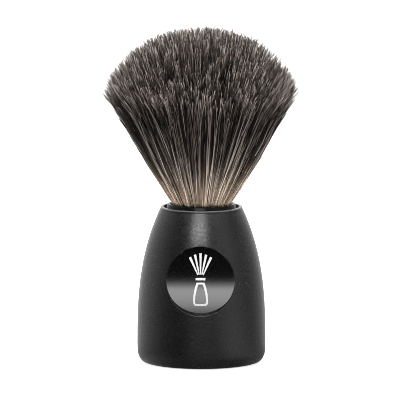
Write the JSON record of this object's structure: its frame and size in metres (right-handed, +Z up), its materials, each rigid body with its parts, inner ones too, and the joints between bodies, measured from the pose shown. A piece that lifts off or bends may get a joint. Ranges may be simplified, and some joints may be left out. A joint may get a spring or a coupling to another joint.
{
  "type": "shaving brush",
  "caption": "Shaving brush with a weighted, rounded handle, a badge let into its front and a screw-in head that holds a domed fan of soft hair.",
  "frame": {"origin": "centre of the foot pad's underside, on the surface that the brush stands on", "axes": "+Z up through the handle and the hair, the badge facing -Y"},
  "size_m": [0.06, 0.06, 0.1009],
  "materials": {
    "handle_black": "matte black with a fine glittering grain",
    "bush_brass": "turned",
    "ballast_steel": "turned, zinc plated",
    "screw_steel": "zinc plated",
    "plug_plastic": "moulded, satin",
    "pad_rubber": "fine ribbed",
    "adhesive_foam": "foam tape",
    "badge_gloss": "polished black",
    "gasket_rubber": "smooth",
    "collar_gloss": "glossy black",
    "resin": "clear amber",
    "cord_thread": "waxed thread",
    "hair": "banded grey hair, dark in the middle"
  },
  "bodies": {
    "handle": {"handle_shell": "handle_black", "socket_bush": "bush_brass", "ballast_weight": "ballast_steel", "ballast_washer": "ballast_steel", "ballast_screw": "screw_steel", "base_plug": "plug_plastic", "foot_pad": "pad_rubber", "badge_adhesive": "adhesive_foam", "badge_disc": "badge_gloss"},
    "seal": {"collar_gasket": "gasket_rubber"},
    "knot": {"ferrule_collar": "collar_gloss", "knot_plug": "resin", "binding_cord": "cord_thread", "hair_root": "hair"},
    "tuft": {"hair_tuft": "hair"}
  },
  "joints": [
    {"name": "knot_lift", "type": "slide", "parent": "handle", "child": "seal", "axis": [0, 0, 1], "range_m": [0, 0.00601]},
    {"name": "knot_spin", "type": "hinge", "parent": "seal", "child": "knot", "pos_m": [0, 0, 0.037], "axis": [0, 0, 1], "range_deg": [0, 1080]},
    {"name": "tuft_sway", "type": "hinge", "parent": "knot", "child": "tuft", "pos_m": [0, 0, 0.03416], "axis": [0, 1, 0], "range_deg": [-25, 25], "stiffness_Nm_per_rad": 0.12}
  ],
  "couplings": [
    {"joint": "knot_lift", "follows": "knot_spin", "m_per_rad": 0.00031831}
  ]
}
